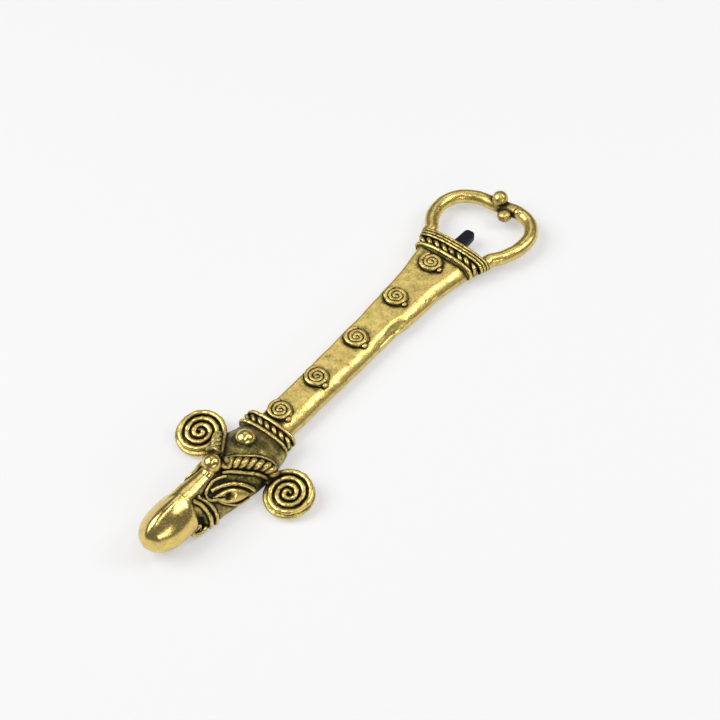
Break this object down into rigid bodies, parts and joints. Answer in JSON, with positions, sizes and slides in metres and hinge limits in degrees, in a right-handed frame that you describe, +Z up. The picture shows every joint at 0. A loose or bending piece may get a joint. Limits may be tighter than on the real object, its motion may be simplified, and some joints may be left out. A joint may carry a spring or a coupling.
{
  "type": "bottle opener",
  "caption": "Cast brass bottle opener: flat tapering bar with coiled rosettes, heart-shaped loop with a dark steel tooth, and an animal's head with spiral ears.",
  "frame": {"origin": "centre of the bounding box's underside, on the surface that the opener lies on", "axes": "+X from the animal's head to the loop, +Z up through the ornamented face"},
  "size_m": [0.191, 0.0564, 0.0179],
  "materials": {
    "cast_brass": "hand-polished casting, dark in the recesses",
    "polished_brass": "bright polish on the most handled surfaces",
    "aged_brass": "olive-brown patina with polished high points",
    "blackened_steel": "blackened, slightly worn"
  },
  "bodies": {
    "root": {"brow_lower_wire_left": "cast_brass", "brow_lower_wire_right": "cast_brass", "brow_rope_left": "cast_brass", "brow_rope_right": "cast_brass", "brow_upper_wire_left": "cast_brass", "brow_upper_wire_right": "cast_brass", "cap_rest_ball": "polished_brass", "cap_tooth": "blackened_steel", "crown_stud": "polished_brass", "ear_left": "cast_brass", "ear_right": "cast_brass", "eye_left": "cast_brass", "eye_right": "cast_brass", "eyelid_wire_left": "cast_brass", "eyelid_wire_right": "cast_brass", "forehead_ball": "polished_brass", "handle_bar": "polished_brass", "head_collar_back_wire": "cast_brass", "head_collar_core": "aged_brass", "head_collar_front_wire": "cast_brass", "head_collar_rope": "cast_brass", "head_core": "aged_brass", "lip_left": "aged_brass", "lip_right": "aged_brass", "loop_collar_back_wire_1": "cast_brass", "loop_collar_back_wire_2": "cast_brass", "loop_collar_back_wire_3": "cast_brass", "loop_collar_core": "aged_brass", "loop_collar_front_wire": "cast_brass", "loop_collar_rope": "cast_brass", "loop_knob": "polished_brass", "nose_bridge": "polished_brass", "noseband_wire_left_1": "cast_brass", "noseband_wire_left_2": "cast_brass", "noseband_wire_right_1": "cast_brass", "noseband_wire_right_2": "cast_brass", "opener_loop": "polished_brass", "snout_knob": "polished_brass", "spiral_rosette_1": "cast_brass", "spiral_rosette_2": "cast_brass", "spiral_rosette_3": "cast_brass", "spiral_rosette_4": "cast_brass", "spiral_rosette_5": "cast_brass"}
  },
  "joints": []
}
